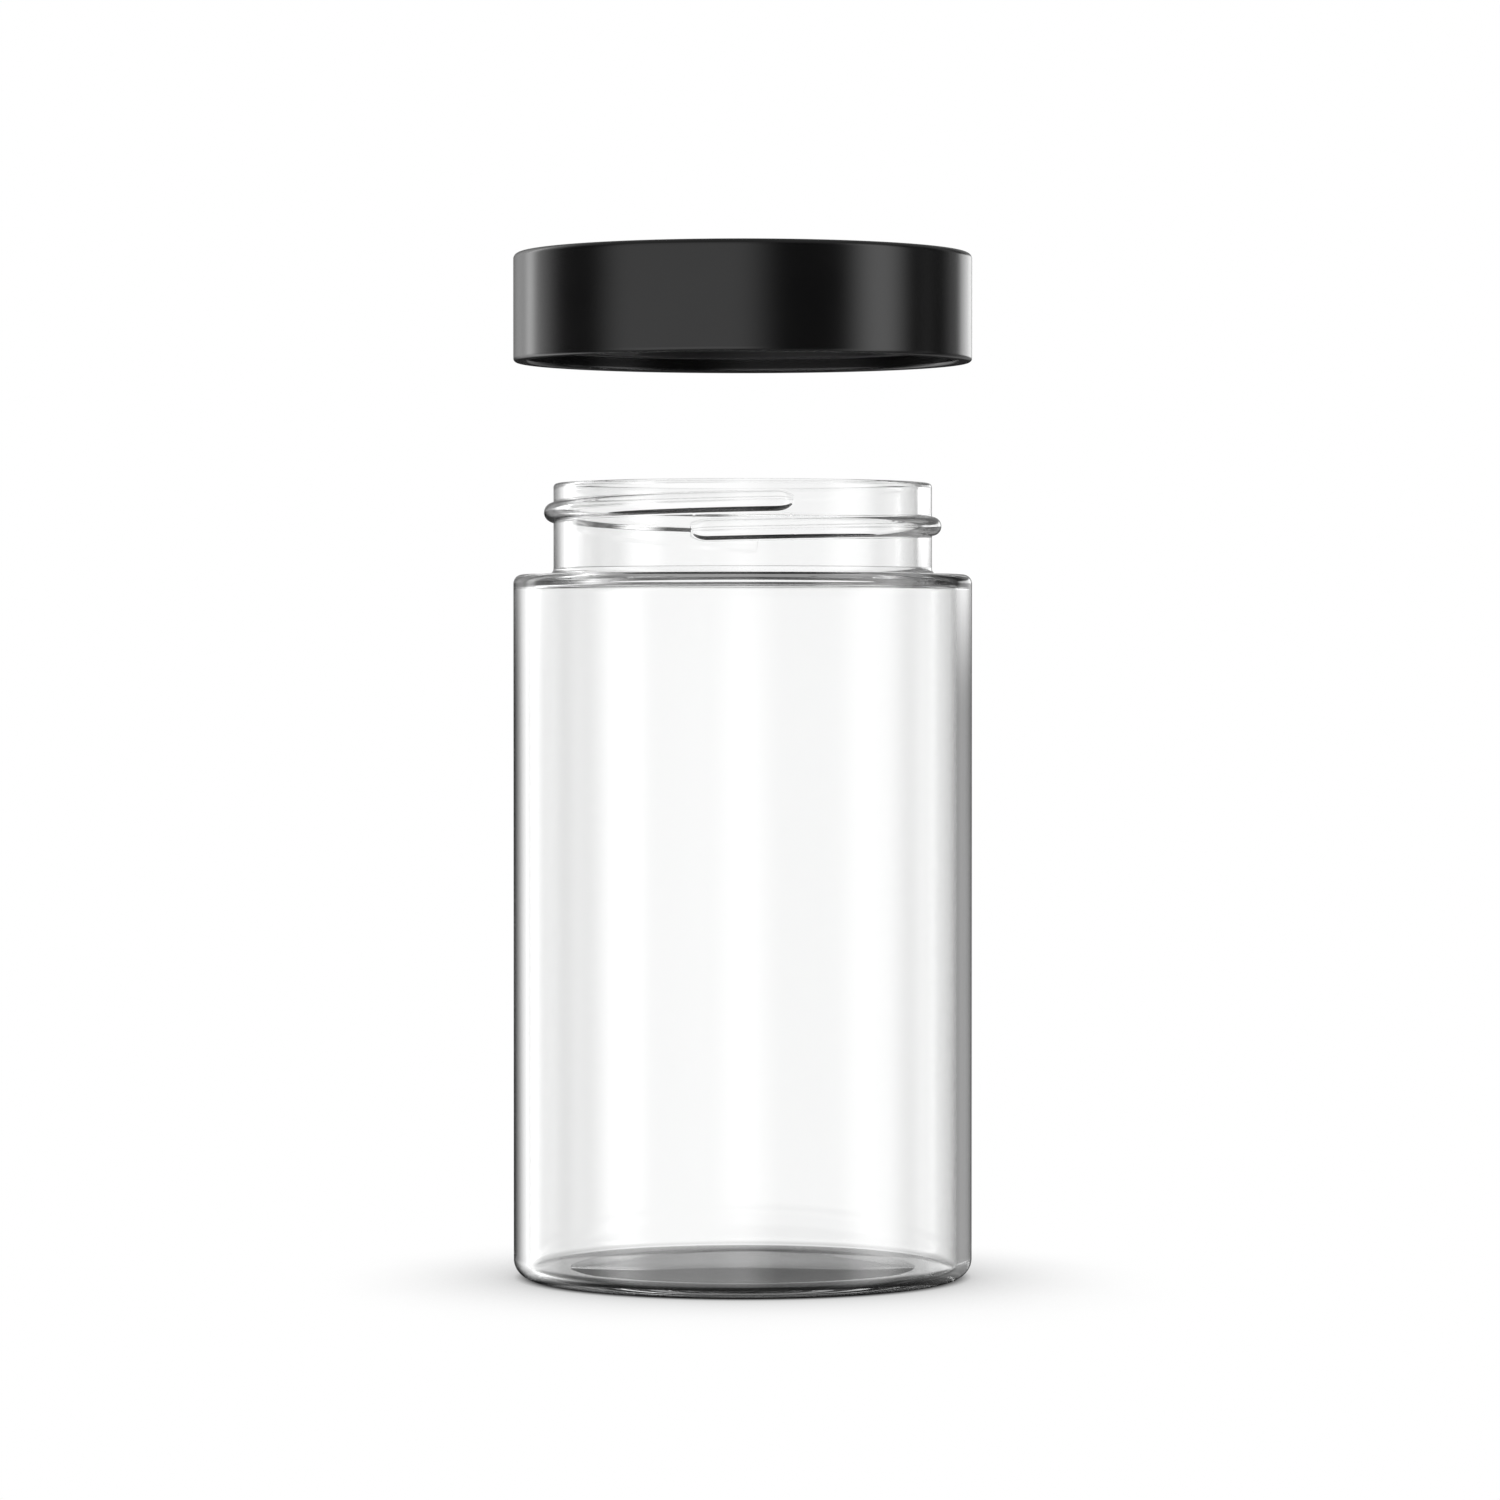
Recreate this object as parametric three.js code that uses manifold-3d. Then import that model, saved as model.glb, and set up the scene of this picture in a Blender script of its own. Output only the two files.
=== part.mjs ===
// Specimen jar: a straight-sided glass jar with a 63-400 single-turn screw finish,
// and a flat black screw lid in two shells with a foam liner.
// Units are millimetres and +Z is up. The origin is the centre of the jar's base.
// The lid hangs open above the mouth, on the same helix that screws it down.

import * as THREE from 'three';
import { mergeVertices } from 'three/addons/utils/BufferGeometryUtils.js';
import Module from 'manifold-3d';

const wasm = await Module();
wasm.setup();

// ---------- driving dimensions ----------

const TURN = 2 * Math.PI;
const QUARTER = Math.PI / 2;
const SEGMENTS = 60; // facets round every turned surface
const ARC_STEP = QUARTER / 4; // angle of one facet of a rounding
const DOME_STEPS = 4; // facets from a dome's rim to its crown

// jar body
const BODY_RADIUS = 36;
const JAR_HEIGHT = 124.7;
const SHOULDER_HEIGHT = 110.4;
const WALL = 2.3;
const HEEL_RADIUS = 3; // outside corner between the side and the base
const RING_INNER_RADIUS = 27; // the jar stands on a flat ring, from here out to the heel
const PUSH_UP = 1.2; // height of the concave underside on the axis
const FLOOR_EDGE = 1.8; // inside floor height near the wall
const FLOOR_CROWN = 3.6; // inside floor height on the axis
const FLOOR_FILLET = 1; // inside, between the side and the floor

// shoulder and neck
const SHOULDER_CORNER = 1.4;
const SHOULDER_THICKNESS = 1.7;
const SHOULDER_FILLET = 0.6; // inside, between the side and the shoulder
const NECK_RADIUS = 29.7;
const NECK_FILLET = 1; // outside, between the shoulder and the neck
const MOUTH_RADIUS = 27.6;
const MOUTH_FILLET = 0.5; // inside, between the neck and the shoulder
const LIP_OUTER = 0.6;
const LIP_INNER = 0.7;

// the helix that the neck's thread and the lid's thread share
const LEAD = 25.4 / 6; // 6 threads to the inch
const HELIX_HEIGHT = 118; // height of the neck thread's middle where the helix crosses +X
const THREAD_START = -105; // degrees round +Z from +X, at the lower end
const THREAD_END = 285;
const THREAD_STEP = 6; // degrees

// neck thread: a round-nosed ridge
const NECK_THREAD_DEPTH = 1.5;
const NECK_THREAD_WIDTH = 3;

// lid, measured up from its own lower edge
const LID_HEIGHT = 17.05;
const LID_CORNER = 0.9;
const LID_EDGE = 0.6; // rounding of the lower edge
const SHELL_BORE = 33.9;
const SHELL_CEILING = 15.75;
const SEAT_GAP = 1; // between the closed lid and the shoulder
const LID_TURNS = 7.63; // turns of the helix from closed to where the lid hangs

// inner cap, a threaded cup pressed into the shell
const CAP_BOTTOM = 2.1;
const CAP_TOP = 15.7;
const CAP_CEILING = 14.6;
const CAP_BORE = 31.5;
const CAP_WALL_RADIUS = 32.8;
const CAP_FLANGE_RADIUS = 33.6;
const CAP_FLANGE_TOP = 3.7;
const CAP_EDGE = 0.3; // bevel of the lower edge
const CAP_THREAD_DEPTH = 1.3;
const CAP_THREAD_ROOT = 2.2; // width at the bore
const CAP_THREAD_CREST = 0.9; // width at the crest

// splines that stop the cap turning in the shell, and the bead that snaps under them
const SPLINES = 24;
const SPLINE_WIDTH = 3.8;
const SPLINE_BOTTOM = 5.3;
const SPLINE_TOP = 15;
const CAP_SPLINE_RADIUS = 33.5;
const SHELL_SPLINE_RADIUS = 33.15;
const SPLINE_ROOT = 0.5; // how far a spline or thread is sunk into its wall
const BEAD_BOTTOM = 4.1;
const BEAD_TOP = 4.9;
const BEAD_DEPTH = 0.5;

// liner, a foam disc with a thin facing that meets the jar's lip
const LINER_RADIUS = 31.1;
const FACING_BOTTOM = 13.35;
const FACING_THICKNESS = 0.2;
const FOAM_THICKNESS = 1;

// ---------- solids ----------

// One closed solid from any closed geometry: shared corners are merged and the
// triangles that collapse on the axis are dropped.
function solidFrom(geometry) {
  geometry.deleteAttribute('normal');
  geometry.deleteAttribute('uv');
  const merged = mergeVertices(geometry);
  const corners = merged.index.array;
  const kept = [];
  for (let i = 0; i < corners.length; i += 3) {
    const [a, b, c] = corners.slice(i, i + 3);
    if (a !== b && b !== c && c !== a) kept.push(a, b, c);
  }
  const mesh = new wasm.Mesh({
    numProp: 3,
    vertProperties: new Float32Array(merged.attributes.position.array),
    triVerts: new Uint32Array(kept),
  });
  return new wasm.Manifold(mesh);
}

// The geometry of a finished solid.
function geometryFrom(solid) {
  const mesh = solid.getMesh();
  const geometry = new THREE.BufferGeometry();
  geometry.setAttribute('position', new THREE.BufferAttribute(mesh.vertProperties, 3));
  geometry.setIndex(new THREE.BufferAttribute(mesh.triVerts, 1));
  geometry.computeVertexNormals();
  return geometry;
}

// Points along an arc, from one angle to another, in the (radius, height) half plane.
function arc(radius, height, size, from, to) {
  const steps = Math.round(Math.abs(to - from) / ARC_STEP);
  const points = [];
  for (let i = 0; i <= steps; i++) {
    const angle = from + ((to - from) * i) / steps;
    points.push([radius + size * Math.cos(angle), height + size * Math.sin(angle)]);
  }
  return points;
}

// Points of a shallow dome, from its rim to its crown on the axis.
function dome(rimRadius, rimHeight, crownHeight) {
  const points = [];
  for (let i = 0; i <= DOME_STEPS; i++) {
    const across = 1 - i / DOME_STEPS;
    const rise = Math.cos(across * QUARTER) ** 2;
    points.push([rimRadius * across, rimHeight + (crownHeight - rimHeight) * rise]);
  }
  return points;
}

// A turned solid. The outline goes anticlockwise in the (radius, height) half plane.
function turned(outline) {
  const points = outline.map(([radius, height]) => new THREE.Vector2(radius, height));
  points.push(points[0].clone());
  const geometry = new THREE.LatheGeometry(points, SEGMENTS);
  geometry.rotateX(QUARTER);
  return solidFrom(geometry);
}

// A ridge along the shared helix, standing on a round wall. The section is a list of
// [depth, height] points from the ridge's lower root to its upper root. It stands out
// of the wall where side is 1 and into the bore where side is -1, and fades at its ends.
function helicalRidge(wallRadius, side, section, helixHeight) {
  const rows = Math.round((THREAD_END - THREAD_START) / THREAD_STEP);
  const lower = section[0][1];
  const upper = section[section.length - 1][1];
  const outline = [[-SPLINE_ROOT, lower], ...section, [-SPLINE_ROOT, upper]];
  if (side < 0) outline.reverse();
  const count = outline.length;
  const corners = [];
  const faces = [];
  for (let row = 0; row <= rows; row++) {
    const degrees = THREAD_START + row * THREAD_STEP;
    const angle = THREE.MathUtils.degToRad(degrees);
    const fade = row === 0 || row === rows ? 0 : 1;
    for (const [depth, height] of outline) {
      const radius = wallRadius + side * (depth > 0 ? depth * fade : depth);
      const level = helixHeight + height + (LEAD * degrees) / 360;
      corners.push(radius * Math.cos(angle), radius * Math.sin(angle), level);
    }
  }
  for (let row = 0; row < rows; row++) {
    for (let i = 0; i < count; i++) {
      const a = row * count + i;
      const b = row * count + ((i + 1) % count);
      faces.push(a, a + count, b, b, a + count, b + count);
    }
  }
  const last = rows * count;
  for (let i = 1; i < count - 1; i++) {
    faces.push(0, i, i + 1);
    faces.push(last, last + i + 1, last + i);
  }
  const mesh = new wasm.Mesh({
    numProp: 3,
    vertProperties: new Float32Array(corners),
    triVerts: new Uint32Array(faces),
  });
  return new wasm.Manifold(mesh);
}

// Upright splines round the axis, one solid for each, turned by a share of their pitch.
function splines(innerRadius, outerRadius, bottom, top, shift) {
  const solids = [];
  for (let i = 0; i < SPLINES; i++) {
    const spline = new THREE.BoxGeometry(outerRadius - innerRadius, SPLINE_WIDTH, top - bottom);
    spline.translate((innerRadius + outerRadius) / 2, 0, (bottom + top) / 2);
    spline.rotateZ(((i + shift) / SPLINES) * TURN);
    solids.push(solidFrom(spline));
  }
  return solids;
}

// All of the solids joined to the first.
function joined(first, others) {
  return others.reduce((whole, solid) => whole.add(solid), first);
}

// ---------- the jar ----------

function glassJar() {
  const inside = BODY_RADIUS - WALL;
  const under = SHOULDER_HEIGHT - SHOULDER_THICKNESS;
  const underside = dome(RING_INNER_RADIUS, 0, PUSH_UP).reverse();
  const heel = BODY_RADIUS - HEEL_RADIUS;
  const corner = SHOULDER_HEIGHT - SHOULDER_CORNER;
  const root = SHOULDER_HEIGHT + NECK_FILLET;
  const floorRim = inside - FLOOR_FILLET;
  const floor = dome(floorRim, FLOOR_EDGE, FLOOR_CROWN);
  const outline = [
    ...underside,
    ...arc(heel, HEEL_RADIUS, HEEL_RADIUS, -QUARTER, 0),
    ...arc(BODY_RADIUS - SHOULDER_CORNER, corner, SHOULDER_CORNER, 0, QUARTER),
    ...arc(NECK_RADIUS + NECK_FILLET, root, NECK_FILLET, -QUARTER, -2 * QUARTER),
    ...arc(NECK_RADIUS - LIP_OUTER, JAR_HEIGHT - LIP_OUTER, LIP_OUTER, 0, QUARTER),
    ...arc(MOUTH_RADIUS + LIP_INNER, JAR_HEIGHT - LIP_INNER, LIP_INNER, QUARTER, 2 * QUARTER),
    ...arc(MOUTH_RADIUS + MOUTH_FILLET, under + MOUTH_FILLET, MOUTH_FILLET, 2 * QUARTER, 3 * QUARTER),
    ...arc(inside - SHOULDER_FILLET, under - SHOULDER_FILLET, SHOULDER_FILLET, QUARTER, 0),
    ...arc(floorRim, FLOOR_EDGE + FLOOR_FILLET, FLOOR_FILLET, 0, -QUARTER),
    ...floor.slice(1),
  ];
  const nose = arc(0, 0, 1, -QUARTER, QUARTER).map(([out, up]) => [
    out * NECK_THREAD_DEPTH,
    (up * NECK_THREAD_WIDTH) / 2,
  ]);
  const thread = helicalRidge(NECK_RADIUS, 1, nose, HELIX_HEIGHT);
  return joined(turned(outline), [thread]);
}

// ---------- the lid, each piece measured up from the lid's lower edge ----------

function lidShell() {
  const beadMiddle = (BEAD_BOTTOM + BEAD_TOP) / 2;
  const outline = [
    ...arc(BODY_RADIUS - LID_EDGE, LID_EDGE, LID_EDGE, -QUARTER, 0),
    ...arc(BODY_RADIUS - LID_CORNER, LID_HEIGHT - LID_CORNER, LID_CORNER, 0, QUARTER),
    [0, LID_HEIGHT],
    [0, SHELL_CEILING],
    [SHELL_BORE, SHELL_CEILING],
    [SHELL_BORE, BEAD_TOP],
    [SHELL_BORE - BEAD_DEPTH, beadMiddle],
    [SHELL_BORE, BEAD_BOTTOM],
    ...arc(SHELL_BORE + LID_EDGE, LID_EDGE, LID_EDGE, 2 * QUARTER, 3 * QUARTER),
  ];
  const outer = SHELL_BORE + SPLINE_ROOT;
  const teeth = splines(SHELL_SPLINE_RADIUS, outer, SPLINE_BOTTOM, SPLINE_TOP, 0.5);
  return joined(turned(outline), teeth);
}

function innerCap() {
  const outline = [
    [CAP_BORE + CAP_EDGE, CAP_BOTTOM],
    [CAP_FLANGE_RADIUS, CAP_BOTTOM],
    [CAP_FLANGE_RADIUS, CAP_FLANGE_TOP],
    [CAP_WALL_RADIUS, CAP_FLANGE_TOP],
    [CAP_WALL_RADIUS, CAP_TOP],
    [0, CAP_TOP],
    [0, CAP_CEILING],
    [CAP_BORE, CAP_CEILING],
    [CAP_BORE, CAP_BOTTOM + CAP_EDGE],
  ];
  const inner = CAP_WALL_RADIUS - SPLINE_ROOT;
  const teeth = splines(inner, CAP_SPLINE_RADIUS, SPLINE_BOTTOM, SPLINE_TOP, 0);
  const crest = [
    [0, -CAP_THREAD_ROOT / 2],
    [CAP_THREAD_DEPTH, -CAP_THREAD_CREST / 2],
    [CAP_THREAD_DEPTH, CAP_THREAD_CREST / 2],
    [0, CAP_THREAD_ROOT / 2],
  ];
  const helixHeight = HELIX_HEIGHT - LEAD / 2 - SHOULDER_HEIGHT - SEAT_GAP;
  const thread = helicalRidge(CAP_BORE, -1, crest, helixHeight);
  return joined(turned(outline), [...teeth, thread]);
}

function disc(bottom, thickness) {
  return turned([
    [0, bottom],
    [LINER_RADIUS, bottom],
    [LINER_RADIUS, bottom + thickness],
    [0, bottom + thickness],
  ]);
}

// ---------- materials ----------

function material(color, roughness, opacity = 1) {
  const transparent = opacity < 1;
  return new THREE.MeshStandardMaterial({ color, roughness, metalness: 0, opacity, transparent });
}

const clearGlass = material(0xf1f5f4, 0.03, 0.3);
const satinBlack = material(0x1b1b1c, 0.32);
const mouldedBlack = material(0x161617, 0.48);
const blackFoam = material(0x202020, 0.9);
const blackFilm = material(0x262626, 0.4);

function piece(name, solid, look) {
  const mesh = new THREE.Mesh(geometryFrom(solid), look);
  mesh.name = name;
  return mesh;
}

// ---------- assembly ----------

const jar = new THREE.Group();
jar.add(piece('glass_jar', glassJar(), clearGlass));

const liner = new THREE.Group();
liner.add(piece('liner_facing', disc(FACING_BOTTOM, FACING_THICKNESS), blackFilm));
liner.add(piece('liner_foam', disc(FACING_BOTTOM + FACING_THICKNESS, FOAM_THICKNESS), blackFoam));

const turningLid = new THREE.Group();
turningLid.add(piece('lid_shell', lidShell(), satinBlack));
turningLid.add(piece('inner_cap', innerCap(), mouldedBlack));
turningLid.rotation.z = LID_TURNS * TURN;

const lid = new THREE.Group();
lid.add(turningLid, liner);
lid.position.z = SHOULDER_HEIGHT + SEAT_GAP + LID_TURNS * LEAD;

const specimenJar = new THREE.Group();
specimenJar.add(jar, lid);

export default specimenJar;
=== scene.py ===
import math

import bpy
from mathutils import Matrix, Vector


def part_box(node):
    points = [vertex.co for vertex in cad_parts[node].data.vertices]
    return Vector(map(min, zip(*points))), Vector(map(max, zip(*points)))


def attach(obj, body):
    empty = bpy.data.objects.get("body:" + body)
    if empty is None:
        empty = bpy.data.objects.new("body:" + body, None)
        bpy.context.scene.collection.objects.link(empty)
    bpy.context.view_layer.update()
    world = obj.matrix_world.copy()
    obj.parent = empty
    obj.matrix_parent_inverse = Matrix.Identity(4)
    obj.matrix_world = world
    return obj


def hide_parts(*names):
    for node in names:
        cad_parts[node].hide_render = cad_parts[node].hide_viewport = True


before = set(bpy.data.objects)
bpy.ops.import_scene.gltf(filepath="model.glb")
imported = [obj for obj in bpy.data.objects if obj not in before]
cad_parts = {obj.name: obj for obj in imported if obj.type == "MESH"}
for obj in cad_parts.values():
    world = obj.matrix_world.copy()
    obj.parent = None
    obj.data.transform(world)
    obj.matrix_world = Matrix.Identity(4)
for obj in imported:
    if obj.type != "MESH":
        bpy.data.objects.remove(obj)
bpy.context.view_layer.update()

# Specimen jar: a clear glass jar with a single-turn screw thread, and a satin black
# screw lid in two shells with a foam liner, held open above the mouth.
# Everything is in metres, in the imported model's frame: +Z up, origin under the jar.

# ---------- places and sizes ----------

_, jar_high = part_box("glass_jar")
shell_low, shell_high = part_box("lid_shell")
cap_low, cap_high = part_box("inner_cap")
foam_low, foam_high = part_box("liner_foam")
facing_low, facing_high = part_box("liner_facing")

QUARTER = math.pi / 2
LEAD = 0.0254 / 6  # rise of the thread in one turn
HELIX_HEIGHT = 0.118  # of the neck thread's middle where the helix crosses +X
THREAD_START = -105.0  # degrees round +Z from +X
THREAD_END = 285.0
THREAD_RUN_OUT = 5.0  # degrees over which each end of the thread fades
LID_TURNS = 7.63  # turns of the helix from closed to the rest pose

BODY_RADIUS = jar_high.x
JAR_HEIGHT = jar_high.z
WALL = 0.0023
HEEL_RADIUS = 0.003
RING_INNER_RADIUS = 0.027
PUSH_UP = 0.0012
FLOOR_EDGE = 0.0018
FLOOR_CROWN = 0.0036
FLOOR_FILLET = 0.001
SHOULDER_HEIGHT = 0.1104
SHOULDER_CORNER = 0.0014
SHOULDER_THICKNESS = 0.0017
SHOULDER_FILLET = 0.0006
NECK_RADIUS = 0.0297
NECK_FILLET = 0.001
MOUTH_RADIUS = 0.0276
MOUTH_FILLET = 0.0005
LIP_OUTER = 0.0006
LIP_INNER = 0.0007
NECK_THREAD_DEPTH = 0.0015
NECK_THREAD_WIDTH = 0.003

LID_RADIUS = BODY_RADIUS
LID_CORNER = 0.0009
LID_EDGE = 0.0006
SHELL_BORE = 0.0339
SHELL_CEILING = shell_low.z + 0.01575
CAP_BORE = 0.0315
CAP_WALL_RADIUS = 0.0328
CAP_FLANGE_RADIUS = 0.0336
CAP_FLANGE_TOP = shell_low.z + 0.0037
CAP_CEILING = shell_low.z + 0.0146
CAP_EDGE = 0.0003
FOAM_EDGE = 0.0002
FACING_EDGE = 0.00005
CAP_THREAD_DEPTH = 0.0013
CAP_THREAD_ROOT = 0.0022
CAP_THREAD_CREST = 0.0009
SPLINES = 24
SPLINE_DEGREES = 6.0  # width of a spline's crest, seen from the axis
SPLINE_BOTTOM = shell_low.z + 0.0053
SPLINE_TOP = shell_low.z + 0.015
CAP_SPLINE_RADIUS = 0.0335
SHELL_SPLINE_RADIUS = 0.03315
BEAD_BOTTOM = shell_low.z + 0.0041
BEAD_TOP = shell_low.z + 0.0049
BEAD_DEPTH = 0.0005

DOME_STEPS = 32  # rows of mesh from a dome's rim to its crown
NOSE_STEPS = 24  # and round the nose of the neck thread
HEEL_STEPS = 18  # and round the heel
WIDE_STEPS = 12  # and round the floor's fillet and the top corner of the lid
CORNER_STEPS = 10  # and round the shoulder, outside and inside
SMALL_STEPS = 8  # and round the neck's fillet, the lip, the mouth and the lid's lower edge
EDGE_STEPS = 5  # and round the edges of the inner cap and the liner
GUARD = 0.00012  # distance of the points that keep a flat or straight stretch true
COLUMN_STEP = 1.5  # degrees between columns of a turned mesh
FINE_STEP = 0.5  # the same, where a thread ends
FINE_SPAN = 7.0  # degrees on each side of a thread's end
THREAD_ROWS = 150  # rows of mesh on a threaded wall
THREAD_SMOOTHING = 3  # passes that round the roots of a thread


# ---------- outlines, as (radius, height) points ----------

def arc(radius, height, size, start, end, steps):
    """Points along an arc, from one angle to another, in radians."""
    points = []
    for i in range(steps + 1):
        angle = start + (end - start) * i / steps
        points.append((radius + size * math.cos(angle), height + size * math.sin(angle)))
    return points


def dome(rim_radius, rim_height, crown_height, steps):
    """Points of a shallow dome, from its rim to its crown on the axis."""
    points = []
    for i in range(steps + 1):
        across = 1 - i / steps
        rise = math.cos(across * QUARTER) ** 2
        points.append((rim_radius * across, rim_height + (crown_height - rim_height) * rise))
    return points


def guarded(points):
    """The outline with a point just inside each end of every long straight stretch."""
    made = [points[0]]
    for a, b in zip(points, points[1:]):
        length = math.dist(a, b)
        if length > 5 * GUARD:
            for share in (GUARD / length, 0.5, 1 - GUARD / length):
                made.append((a[0] + (b[0] - a[0]) * share, a[1] + (b[1] - a[1]) * share))
        made.append(b)
    return made


def resampled(points, count):
    """The same line with count points, equally far apart along it."""
    reach = [0.0]
    for a, b in zip(points, points[1:]):
        reach.append(reach[-1] + math.dist(a, b))
    made = []
    at = 0
    for i in range(count):
        want = reach[-1] * i / (count - 1)
        while at < len(points) - 2 and reach[at + 1] < want:
            at += 1
        share = (want - reach[at]) / max(reach[at + 1] - reach[at], 1e-12)
        a, b = points[at], points[at + 1]
        made.append((a[0] + (b[0] - a[0]) * share, a[1] + (b[1] - a[1]) * share))
    return made


def softened(points, passes):
    """The same line with its corners eased, and its ends kept."""
    for _ in range(passes):
        middle = [
            ((a[0] + 2 * b[0] + c[0]) / 4, (a[1] + 2 * b[1] + c[1]) / 4)
            for a, b, c in zip(points, points[1:], points[2:])
        ]
        points = [points[0], *middle, points[-1]]
    return points


# ---------- threads and splines ----------

def turns_at(degrees, start, end):
    """Each place where the thread crosses this direction, as (degrees along the helix, strength)."""
    found = []
    along = degrees + 360 * math.ceil((start - degrees) / 360)
    while along <= end:
        from_end = min(along - start, end - along)
        inward = min(from_end / THREAD_RUN_OUT, 1)
        found.append((along, math.sqrt(1 - (1 - inward) ** 2)))
        along += 360
    return found


def threaded_wall(degrees, wall, side, section, bottom, top, helix_height, start, end):
    """The (radius, height) line of a threaded wall in one direction, from bottom to top."""
    line = [(wall, bottom)]
    for along, strength in turns_at(degrees, start, end):
        middle = helix_height + LEAD * along / 360
        for out, up in section:
            line.append((wall + side * out * strength, middle + up * strength))
    line.append((wall, top))
    return softened(resampled(line, THREAD_ROWS), THREAD_SMOOTHING)


def splined(outline, wall, crest, degrees, shift):
    """The outline with its upright wall moved to the splines' crest where a spline stands."""
    pitch = 360 / SPLINES
    off = abs((degrees - shift + pitch / 2) % pitch - pitch / 2)
    if off > SPLINE_DEGREES / 2 + 1e-6:
        return outline
    return [
        (crest, height) if radius == wall and SPLINE_BOTTOM <= height <= SPLINE_TOP else (radius, height)
        for radius, height in outline
    ]


# ---------- meshes ----------

def columns(*fine):
    """Directions in degrees, closer together round each place in fine."""
    steps = round(360 / COLUMN_STEP)
    made = {round(i * COLUMN_STEP, 4) for i in range(steps)}
    for place in fine:
        reach = round(FINE_SPAN / FINE_STEP)
        near = round(place / COLUMN_STEP) * COLUMN_STEP
        made |= {round((near + i * FINE_STEP) % 360, 4) for i in range(-reach, reach + 1)}
    return sorted(made)


def turned(name, outline_at, directions):
    """A closed mesh of outlines that start and end on the axis, one for each direction."""
    outlines = [outline_at(d) for d in directions]
    rows = len(outlines[0]) - 2
    points = []
    for direction, outline in zip(directions, outlines):
        angle = math.radians(direction)
        for radius, height in outline[1:-1]:
            points.append((radius * math.cos(angle), radius * math.sin(angle), height))
    first, last = len(points), len(points) + 1
    points += [(0, 0, outlines[0][0][1]), (0, 0, outlines[0][-1][1])]
    faces = []
    for i in range(len(directions)):
        here, there = i * rows, ((i + 1) % len(directions)) * rows
        faces.append((first, there, here))
        faces.append((last, here + rows - 1, there + rows - 1))
        for j in range(rows - 1):
            faces.append((here + j, there + j, there + j + 1, here + j + 1))
    mesh = bpy.data.meshes.new(name)
    mesh.from_pydata(points, [], faces)
    mesh.validate()
    mesh.shade_smooth()
    piece = bpy.data.objects.new(name, mesh)
    bpy.context.scene.collection.objects.link(piece)
    return piece


def dressed(piece, material, body, node):
    """Gives a piece its material and its place in the model."""
    piece.data.materials.append(material)
    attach(piece, body)
    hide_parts(node)
    return piece


# ---------- the jar ----------

def round_nose(depth, width):
    """A thread's section with a half-round nose, from its lower root to its upper root."""
    points = arc(0, 0, 1, -QUARTER, QUARTER, NOSE_STEPS)
    return [(out * depth, up * width / 2) for out, up in points]


def jar_outline():
    """The jar's outline below the threaded wall, and above and inside it."""
    inside = BODY_RADIUS - WALL
    floor_rim = inside - FLOOR_FILLET
    under = SHOULDER_HEIGHT - SHOULDER_THICKNESS
    heel = BODY_RADIUS - HEEL_RADIUS
    corner = SHOULDER_HEIGHT - SHOULDER_CORNER
    push_up = dome(RING_INNER_RADIUS, 0, PUSH_UP, DOME_STEPS)
    below = guarded([
        push_up[0],
        *arc(heel, HEEL_RADIUS, HEEL_RADIUS, -QUARTER, 0, HEEL_STEPS),
        *arc(BODY_RADIUS - SHOULDER_CORNER, corner, SHOULDER_CORNER, 0, QUARTER, CORNER_STEPS),
        *arc(
            NECK_RADIUS + NECK_FILLET, SHOULDER_HEIGHT + NECK_FILLET, NECK_FILLET,
            -QUARTER, -math.pi, SMALL_STEPS,
        ),
    ])
    above = guarded([
        *arc(NECK_RADIUS - LIP_OUTER, JAR_HEIGHT - LIP_OUTER, LIP_OUTER, 0, QUARTER, SMALL_STEPS),
        *arc(MOUTH_RADIUS + LIP_INNER, JAR_HEIGHT - LIP_INNER, LIP_INNER, QUARTER, math.pi, SMALL_STEPS),
        *arc(
            MOUTH_RADIUS + MOUTH_FILLET, under + MOUTH_FILLET, MOUTH_FILLET,
            math.pi, 3 * QUARTER, SMALL_STEPS,
        ),
        *arc(inside - SHOULDER_FILLET, under - SHOULDER_FILLET, SHOULDER_FILLET, QUARTER, 0, CORNER_STEPS),
        *arc(floor_rim, FLOOR_EDGE + FLOOR_FILLET, FLOOR_FILLET, 0, -QUARTER, WIDE_STEPS),
    ])
    floor = dome(floor_rim, FLOOR_EDGE, FLOOR_CROWN, DOME_STEPS)
    return [*reversed(push_up[1:]), *below], [*above, *floor[1:]]


def make_jar(material):
    below, above = jar_outline()
    section = round_nose(NECK_THREAD_DEPTH, NECK_THREAD_WIDTH)
    bottom, top = below[-1][1], above[0][1]

    def outline_at(degrees):
        wall = threaded_wall(
            degrees, NECK_RADIUS, 1, section, bottom, top, HELIX_HEIGHT, THREAD_START, THREAD_END
        )
        return [*below, *wall[1:-1], *above]

    jar = turned("jar_glass", outline_at, columns(THREAD_START, THREAD_END))
    return dressed(jar, material, "jar", "glass_jar")


# ---------- the lid ----------

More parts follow.
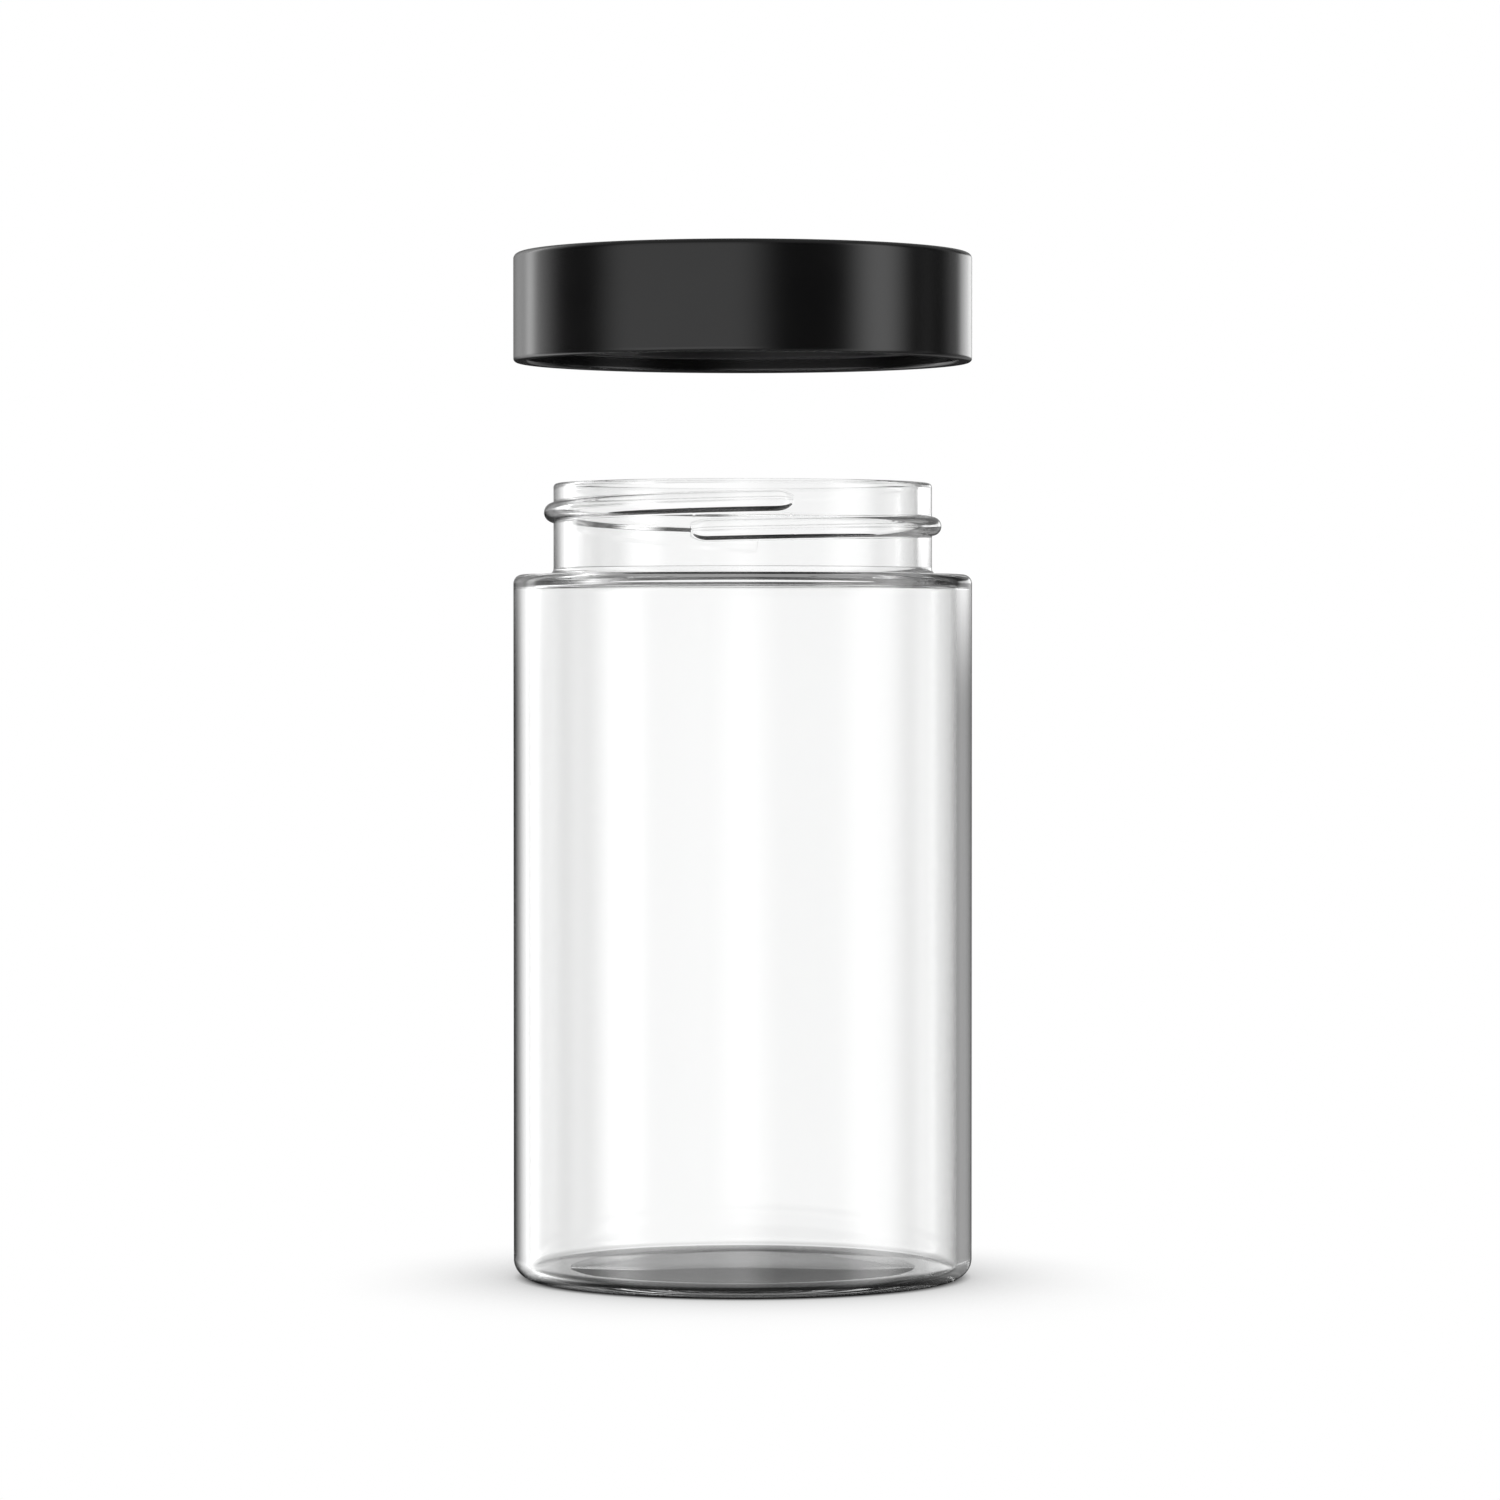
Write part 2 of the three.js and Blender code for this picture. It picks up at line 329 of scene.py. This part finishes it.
def make_lid_shell(material):
    base, top = shell_low.z, shell_high.z
    plain = guarded([
        (0, SHELL_CEILING),
        (SHELL_BORE, SHELL_CEILING),
        (SHELL_BORE, SPLINE_TOP + GUARD),
        (SHELL_BORE, SPLINE_TOP),
        (SHELL_BORE, SPLINE_BOTTOM),
        (SHELL_BORE, SPLINE_BOTTOM - GUARD),
        (SHELL_BORE, BEAD_TOP),
        (SHELL_BORE - BEAD_DEPTH, (BEAD_BOTTOM + BEAD_TOP) / 2),
        (SHELL_BORE, BEAD_BOTTOM),
        *arc(SHELL_BORE + LID_EDGE, base + LID_EDGE, LID_EDGE, math.pi, 3 * QUARTER, SMALL_STEPS),
        *arc(LID_RADIUS - LID_EDGE, base + LID_EDGE, LID_EDGE, -QUARTER, 0, SMALL_STEPS),
        *arc(LID_RADIUS - LID_CORNER, top - LID_CORNER, LID_CORNER, 0, QUARTER, WIDE_STEPS),
        (0, top),
    ])
    half_pitch = 180 / SPLINES

    def outline_at(degrees):
        return splined(plain, SHELL_BORE, SHELL_SPLINE_RADIUS, degrees, half_pitch)

    shell = turned("lid_outer_shell", outline_at, columns())
    return dressed(shell, material, "lid", "lid_shell")


def make_inner_cap(material):
    base, top = cap_low.z, cap_high.z
    turned_by = 360 * LID_TURNS
    section = [
        (0, -CAP_THREAD_ROOT / 2),
        (CAP_THREAD_DEPTH, -CAP_THREAD_CREST / 2),
        (CAP_THREAD_DEPTH, CAP_THREAD_CREST / 2),
        (0, CAP_THREAD_ROOT / 2),
    ]
    around = guarded([
        *arc(CAP_BORE + CAP_EDGE, base + CAP_EDGE, CAP_EDGE, math.pi, 3 * QUARTER, EDGE_STEPS)[1:],
        *arc(CAP_FLANGE_RADIUS - CAP_EDGE, base + CAP_EDGE, CAP_EDGE, -QUARTER, 0, EDGE_STEPS),
        (CAP_FLANGE_RADIUS, CAP_FLANGE_TOP),
        (CAP_WALL_RADIUS, CAP_FLANGE_TOP),
        (CAP_WALL_RADIUS, SPLINE_BOTTOM - GUARD),
        (CAP_WALL_RADIUS, SPLINE_BOTTOM),
        (CAP_WALL_RADIUS, SPLINE_TOP),
        (CAP_WALL_RADIUS, SPLINE_TOP + GUARD),
        (CAP_WALL_RADIUS, top),
        (0, top),
    ])

    def outline_at(degrees):
        wall = threaded_wall(
            degrees, CAP_BORE, -1, section, base + CAP_EDGE, CAP_CEILING, HELIX_HEIGHT - LEAD / 2,
            THREAD_START + turned_by, THREAD_END + turned_by,
        )
        outside = splined(around, CAP_WALL_RADIUS, CAP_SPLINE_RADIUS, degrees, 0)
        ceiling = guarded([(0, CAP_CEILING), wall[-1]])
        return [*ceiling, *reversed(wall[:-1]), *outside]

    ends = (THREAD_START + turned_by, THREAD_END + turned_by)
    cap = turned("lid_inner_cap", outline_at, columns(*ends))
    return dressed(cap, material, "lid", "inner_cap")


# ---------- the liner ----------

def make_disc(name, low, high, edge, material, node):
    """A flat round disc with eased edges."""
    radius = high.x
    outline = guarded([
        (0, low.z),
        *arc(radius - edge, low.z + edge, edge, -QUARTER, 0, EDGE_STEPS),
        *arc(radius - edge, high.z - edge, edge, 0, QUARTER, EDGE_STEPS),
        (0, high.z),
    ])
    disc = turned(name, lambda degrees: outline, columns())
    return dressed(disc, material, "liner", node)


# ---------- materials ----------

GLASS_IOR = 1.5
PLASTIC_IOR = 1.5
NOISE_LOW, NOISE_HIGH = 0.3, 0.7  # where the values of a noise mostly lie


def add(tree, kind, sockets, **settings):
    """A new node with its settings, and its sockets each set to a value or linked to an output."""
    node = tree.nodes.new("ShaderNode" + kind)
    for name, value in settings.items():
        setattr(node, name, value)
    for name, value in sockets.items():
        if isinstance(value, bpy.types.NodeSocket):
            tree.links.new(value, node.inputs[name])
        else:
            node.inputs[name].default_value = value
    return node


def map_range(tree, value, start, end, low=0, high=1, easing="LINEAR"):
    """The value moved from between start and end to between low and high, and held there."""
    limits = {"From Min": start, "From Max": end, "To Min": low, "To Max": high}
    return add(tree, "MapRange", {"Value": value, **limits}, interpolation_type=easing).outputs["Result"]


def on_object(tree):
    """The place on the object, in its own metres."""
    return add(tree, "TexCoord", {}).outputs["Object"]


def new_material(name, color, roughness):
    """A material with one Principled shader, and its node tree."""
    material = bpy.data.materials.new(name)
    material.use_nodes = True
    tree = material.node_tree
    shader = tree.nodes["Principled BSDF"]
    shader.inputs["Base Color"].default_value = (*color, 1)
    shader.inputs["Roughness"].default_value = roughness
    material.diffuse_color = (*color, 1)
    return material, tree, shader


def noise(tree, cells, detail, stretch=(1, 1, 1)):
    """The value of a noise that is fixed to the object, with this many cells to the metre."""
    where = add(tree, "Mapping", {"Vector": on_object(tree), "Scale": stretch}).outputs["Vector"]
    return add(tree, "TexNoise", {"Vector": where, "Scale": cells, "Detail": detail}).outputs["Fac"]


def ranged(tree, value, low, high):
    """A noise's value moved to between low and high."""
    return map_range(tree, value, NOISE_LOW, NOISE_HIGH, low, high)


def colored(tree, value, dark, light):
    """A colour between two, by the value."""
    mix = add(tree, "Mix", {"A": (*dark, 1), "B": (*light, 1), "Factor": value}, data_type="RGBA")
    return mix.outputs["Result"]


def bumped(tree, height, distance):
    """A bump where a height of 1 stands out by this distance in metres."""
    return add(tree, "Bump", {"Strength": 1, "Distance": distance, "Height": height}).outputs["Normal"]


def clear_glass():
    """Clear glass with slow waves and slight smears."""
    material, tree, shader = new_material("clear_glass", (0.992, 0.994, 0.993), roughness=0.0)
    shader.inputs["IOR"].default_value = GLASS_IOR
    shader.inputs["Transmission Weight"].default_value = 1.0
    waves = noise(tree, cells=55, detail=1, stretch=(1, 1, 0.35))
    tree.links.new(bumped(tree, waves, distance=0.00002), shader.inputs["Normal"])
    smear = noise(tree, cells=40, detail=3)
    tree.links.new(ranged(tree, smear, low=0.0, high=0.012), shader.inputs["Roughness"])
    return material


def satin_black():
    """The outer shell's black, with a very fine grain."""
    material, tree, shader = new_material("satin_black", (0.002, 0.002, 0.002), roughness=0.2)
    shader.inputs["IOR"].default_value = PLASTIC_IOR
    cloud = noise(tree, cells=60, detail=4)
    tint = colored(tree, cloud, dark=(0.0016, 0.0016, 0.0017), light=(0.0030, 0.0030, 0.0032))
    tree.links.new(tint, shader.inputs["Base Color"])
    tree.links.new(ranged(tree, cloud, low=0.18, high=0.22), shader.inputs["Roughness"])
    grain = noise(tree, cells=5200, detail=2)
    tree.links.new(bumped(tree, grain, distance=0.0000012), shader.inputs["Normal"])
    return material


def moulded_black():
    """The inner cap's rougher black."""
    material, tree, shader = new_material("moulded_black", (0.007, 0.007, 0.0075), roughness=0.45)
    cloud = noise(tree, cells=90, detail=4)
    tint = colored(tree, cloud, dark=(0.005, 0.005, 0.0055), light=(0.010, 0.010, 0.011))
    tree.links.new(tint, shader.inputs["Base Color"])
    tree.links.new(ranged(tree, cloud, low=0.38, high=0.5), shader.inputs["Roughness"])
    grain = noise(tree, cells=2600, detail=3)
    tree.links.new(bumped(tree, grain, distance=0.000003), shader.inputs["Normal"])
    return material


def black_foam():
    """Foam with small closed cells."""
    material, tree, shader = new_material("black_foam", (0.012, 0.012, 0.012), roughness=0.9)
    cells = add(tree, "TexVoronoi", {"Vector": on_object(tree), "Scale": 2800}).outputs["Distance"]
    tint = colored(tree, cells, dark=(0.016, 0.016, 0.016), light=(0.008, 0.008, 0.008))
    tree.links.new(tint, shader.inputs["Base Color"])
    tree.links.new(bumped(tree, cells, distance=0.00008), shader.inputs["Normal"])
    return material


def black_film():
    """A thin film with slight ripples."""
    material, tree, shader = new_material("black_film", (0.02, 0.02, 0.02), roughness=0.35)
    ripple = noise(tree, cells=420, detail=3)
    tint = colored(tree, ripple, dark=(0.016, 0.016, 0.016), light=(0.022, 0.022, 0.022))
    tree.links.new(tint, shader.inputs["Base Color"])
    tree.links.new(ranged(tree, ripple, low=0.28, high=0.42), shader.inputs["Roughness"])
    tree.links.new(bumped(tree, ripple, distance=0.00003), shader.inputs["Normal"])
    return material


# ---------- the studio ----------

FLOOR_RADIUS = 6.0
FLOOR_SIDES = 96
SHADOW_SAMPLES = 16
SHADOW_FULL = 0.85  # share of open sky at which the floor is already white
SHADOW_REACH = 0.05  # how far the shadow reaches beside the jar
SHADOW_REACH_FRONT = 0.09  # and in front of it, as the light comes from behind
FLOOR_UNDER = 0.04  # what is left of the light under the rim of the base
FLOOR_LIT = 0.95  # what comes down through the glass to the floor under its middle
LIT_RADIUS = 0.033
LIT_FADE = 0.0015
LIT_SHIFT = 0.006  # how far the lit place is moved back, as the light comes from behind
BACKDROP = 1.0  # brightness of the backdrop, seen straight or through the glass

# The light wall round the object, which only reflections see. Each strip has its middle,
# half width and softness in degrees, 0 being the camera's side and positive its right,
# its brightness above and below the horizon, and the height where it ends, in degrees.
STRIPS = [
    (-133, 5, 8, 2.0, 1.1, 50),
    (-133, 22, 24, 1.0, 1.0, 50),
    (-31, 40, 24, 0.92, 1.4, 50),
    (72, 13, 22, 2.1, 1.95, 50),
    (105, 5, 8, 0.1, 0.4, 50),
    (131, 7, 14, 0.35, 0.2, 50),
    (154, 14, 8, 1.8, 0.32, 7),
    (180, 30, 20, 0.28, 0.0, 50),
]
STRIP_END = 4.0  # degrees over which a strip ends
DARK_WALL = 0.03
HORIZON_LOW, HORIZON_HIGH = -0.6, 2.6  # degrees, where below turns into above
CEILING_LOW, CEILING_HIGH = 20.0, 50.0  # degrees, where the wall turns into the ceiling
CEILING = 0.35
GROUND_HIGH, GROUND_LOW = -35.0, -60.0  # degrees, where the wall turns into the ground
GROUND = 0.3


def reflected(tree):
    """1 for a ray that has been reflected at least once on its way here, and otherwise 0."""
    depth = add(tree, "LightPath", {}).outputs["Glossy Depth"]
    return add(tree, "Math", {0: depth, 1: 0.5}, operation="GREATER_THAN").outputs["Value"]


def pale_floor():
    """White that gives off its own light, less where the object stands over it.

    The shadow is painted from ambient occlusion, and the lit place under the glass base is a painted pool
    of light.
    Reflections see only the shadow, and past it the light wall.
    """
    material = bpy.data.materials.new("pale_floor")
    material.use_nodes = True
    tree = material.node_tree
    tree.nodes.remove(tree.nodes["Principled BSDF"])
    where = on_object(tree)
    back = add(tree, "SeparateXYZ", {"Vector": where}).outputs["Y"]
    reach = map_range(tree, back, 0, -SHADOW_REACH_FRONT, SHADOW_REACH, SHADOW_REACH_FRONT)
    sky = add(tree, "AmbientOcclusion", {"Distance": reach}, samples=SHADOW_SAMPLES).outputs["AO"]
    off = add(tree, "VectorMath", {0: where, 1: (0, LIT_SHIFT, 0)}, operation="DISTANCE").outputs["Value"]
    # Painted pool of light: a brighter disc on the floor under the glass base, standing in for light that
    # passes through the glass.
    under = map_range(tree, off, LIT_RADIUS - LIT_FADE, LIT_RADIUS + LIT_FADE, FLOOR_LIT, FLOOR_UNDER)
    # Painted shadow: the floor's brightness falls with ambient occlusion near the jar.
    light = map_range(tree, sky, 0, SHADOW_FULL, under, 1)
    white = add(tree, "Emission", {"Strength": light}).outputs["Emission"]
    clear = add(tree, "BsdfTransparent", {"Color": light}).outputs["BSDF"]
    mix = add(tree, "MixShader", {"Fac": reflected(tree), 1: white, 2: clear})
    tree.links.new(mix.outputs["Shader"], tree.nodes["Material Output"].inputs["Surface"])
    return material


def make_floor():
    """A plain round floor."""
    rim = arc(0, 0, FLOOR_RADIUS, 0, 4 * QUARTER, FLOOR_SIDES)[:-1]
    mesh = bpy.data.meshes.new("floor")
    mesh.from_pydata([(x, y, 0) for x, y in rim], [], [tuple(range(FLOOR_SIDES))])
    mesh.materials.append(pale_floor())
    floor = bpy.data.objects.new("floor", mesh)
    bpy.context.scene.collection.objects.link(floor)


def make_world():
    """A white backdrop, and the light wall that reflections see in its place."""
    world = bpy.data.worlds.new("studio")
    bpy.context.scene.world = world
    world.use_nodes = True
    tree = world.node_tree

    def math_node(operation, *values):
        return add(tree, "Math", dict(enumerate(values)), operation=operation).outputs["Value"]

    def faded(value, start, end):
        return map_range(tree, value, start, end, easing="SMOOTHSTEP")

    def mixed(share, a, b):
        return add(tree, "Mix", {"Factor": share, "A": a, "B": b}).outputs["Result"]

    toward = add(tree, "TexCoord", {}).outputs["Generated"]
    split = add(tree, "SeparateXYZ", {"Vector": toward})
    to_degrees = 180 / math.pi
    front = math_node("MULTIPLY", split.outputs["Y"], -1)
    around = math_node("MULTIPLY", math_node("ARCTAN2", split.outputs["X"], front), to_degrees)
    height = math_node("MULTIPLY", math_node("ARCSINE", split.outputs["Z"]), to_degrees)
    above = faded(height, HORIZON_LOW, HORIZON_HIGH)
    wall = DARK_WALL
    for middle, half, soft, high, low, top in STRIPS:
        off = math_node("ABSOLUTE", math_node("SUBTRACT", around, middle))
        off = math_node("SUBTRACT", 180, math_node("ABSOLUTE", math_node("SUBTRACT", off, 180)))
        strip = faded(off, half + soft / 2, half - soft / 2)
        strip = math_node("MULTIPLY", strip, faded(height, top + STRIP_END / 2, top - STRIP_END / 2))
        wall = math_node("ADD", math_node("MULTIPLY", strip, mixed(above, low, high)), wall)
    wall = mixed(faded(height, CEILING_LOW, CEILING_HIGH), wall, CEILING)
    wall = mixed(faded(height, GROUND_HIGH, GROUND_LOW), wall, GROUND)
    background = tree.nodes["Background"]
    background.inputs["Color"].default_value = (1, 1, 1, 1)
    tree.links.new(mixed(reflected(tree), BACKDROP, wall), background.inputs["Strength"])
    world.cycles.sampling_method = "NONE"


# ---------- the camera ----------

CAMERA_PLACE = (0.00115, -0.943, 0.09756)
CAMERA_DOWN = 0.893  # degrees below the horizon that the camera looks
CAMERA_LENS = 144  # millimetres
CAMERA_SENSOR = 36  # millimetres
CAMERA_NEAR, CAMERA_FAR = 0.01, 20
BOUNCES = 24  # the glass is several surfaces deep
GLOSSY_BOUNCES = 12


def make_camera():
    """A long lens in front of the jar, a little below the lid and looking slightly down."""
    data = bpy.data.cameras.new("camera")
    camera = bpy.data.objects.new("camera", data)
    bpy.context.scene.collection.objects.link(camera)
    data.sensor_width = CAMERA_SENSOR
    data.lens = CAMERA_LENS
    data.clip_start = CAMERA_NEAR
    data.clip_end = CAMERA_FAR
    camera.location = CAMERA_PLACE
    camera.rotation_euler = (QUARTER - math.radians(CAMERA_DOWN), 0, 0)
    bpy.context.scene.camera = camera


make_jar(clear_glass())
make_lid_shell(satin_black())
make_inner_cap(moulded_black())
make_disc("liner_foam_disc", foam_low, foam_high, FOAM_EDGE, black_foam(), "liner_foam")
make_disc(
    "liner_facing_disc", facing_low, facing_high, FACING_EDGE, black_film(), "liner_facing"
)
make_floor()
make_world()
make_camera()

scene = bpy.context.scene
scene.view_settings.view_transform = "Standard"
scene.view_settings.look = "None"
scene.cycles.max_bounces = BOUNCES
scene.cycles.transmission_bounces = BOUNCES
scene.cycles.glossy_bounces = GLOSSY_BOUNCES
